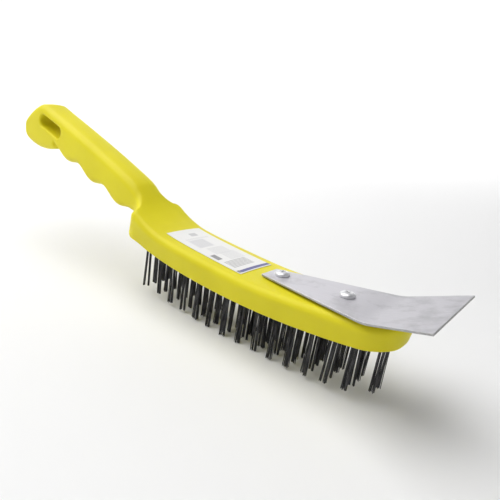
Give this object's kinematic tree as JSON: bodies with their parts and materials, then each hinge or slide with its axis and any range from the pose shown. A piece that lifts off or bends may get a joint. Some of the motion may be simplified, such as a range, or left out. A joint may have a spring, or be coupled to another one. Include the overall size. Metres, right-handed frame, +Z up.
{
  "type": "wire brush",
  "caption": "Curved-handle hand brush with four rows of steel wire tufts in a moulded plastic block and a bent sheet steel scraper screwed to its nose",
  "frame": {"origin": "middle of the overall bounding box in plan, on the plane of the lowest wire tips", "axes": "+X from the hanging slot towards the scraper blade, +Y to the left of that, +Z up, away from the wires"},
  "size_m": [0.2972, 0.0552, 0.0904],
  "materials": {
    "yellow_plastic": "moulded polypropylene with a soft gloss",
    "wire_steel": "bundles of drawn steel wire, bright on the wire and dark between the wires",
    "scraper_steel": "rolled sheet, fine grain, sheared edges",
    "zinc_plate": "bright zinc plating",
    "label_paper": "coated paper label"
  },
  "bodies": {
    "root": {"brush_body": "yellow_plastic", "scraper_blade": "scraper_steel", "rear_screw": "zinc_plate", "front_screw": "zinc_plate", "label": "label_paper", "tuft_row1_02": "wire_steel", "tuft_row1_03": "wire_steel", "tuft_row1_04": "wire_steel", "tuft_row1_05": "wire_steel", "tuft_row1_06": "wire_steel", "tuft_row1_07": "wire_steel", "tuft_row1_08": "wire_steel", "tuft_row1_09": "wire_steel", "tuft_row1_10": "wire_steel", "tuft_row1_11": "wire_steel", "tuft_row1_12": "wire_steel", "tuft_row1_13": "wire_steel", "tuft_row1_14": "wire_steel", "tuft_row2_02": "wire_steel", "tuft_row2_03": "wire_steel", "tuft_row2_04": "wire_steel", "tuft_row2_05": "wire_steel", "tuft_row2_06": "wire_steel", "tuft_row2_07": "wire_steel", "tuft_row2_08": "wire_steel", "tuft_row2_09": "wire_steel", "tuft_row2_10": "wire_steel", "tuft_row2_11": "wire_steel", "tuft_row2_12": "wire_steel", "tuft_row2_13": "wire_steel", "tuft_row2_14": "wire_steel", "tuft_row2_15": "wire_steel", "tuft_row3_02": "wire_steel", "tuft_row3_03": "wire_steel", "tuft_row3_04": "wire_steel", "tuft_row3_05": "wire_steel", "tuft_row3_06": "wire_steel", "tuft_row3_07": "wire_steel", "tuft_row3_08": "wire_steel", "tuft_row3_09": "wire_steel", "tuft_row3_10": "wire_steel", "tuft_row3_11": "wire_steel", "tuft_row3_12": "wire_steel", "tuft_row3_13": "wire_steel", "tuft_row3_14": "wire_steel", "tuft_row3_15": "wire_steel", "tuft_row4_02": "wire_steel", "tuft_row4_03": "wire_steel", "tuft_row4_04": "wire_steel", "tuft_row4_05": "wire_steel", "tuft_row4_06": "wire_steel", "tuft_row4_07": "wire_steel", "tuft_row4_08": "wire_steel", "tuft_row4_09": "wire_steel", "tuft_row4_10": "wire_steel", "tuft_row4_11": "wire_steel", "tuft_row4_12": "wire_steel", "tuft_row4_13": "wire_steel", "tuft_row4_14": "wire_steel"}
  },
  "joints": []
}
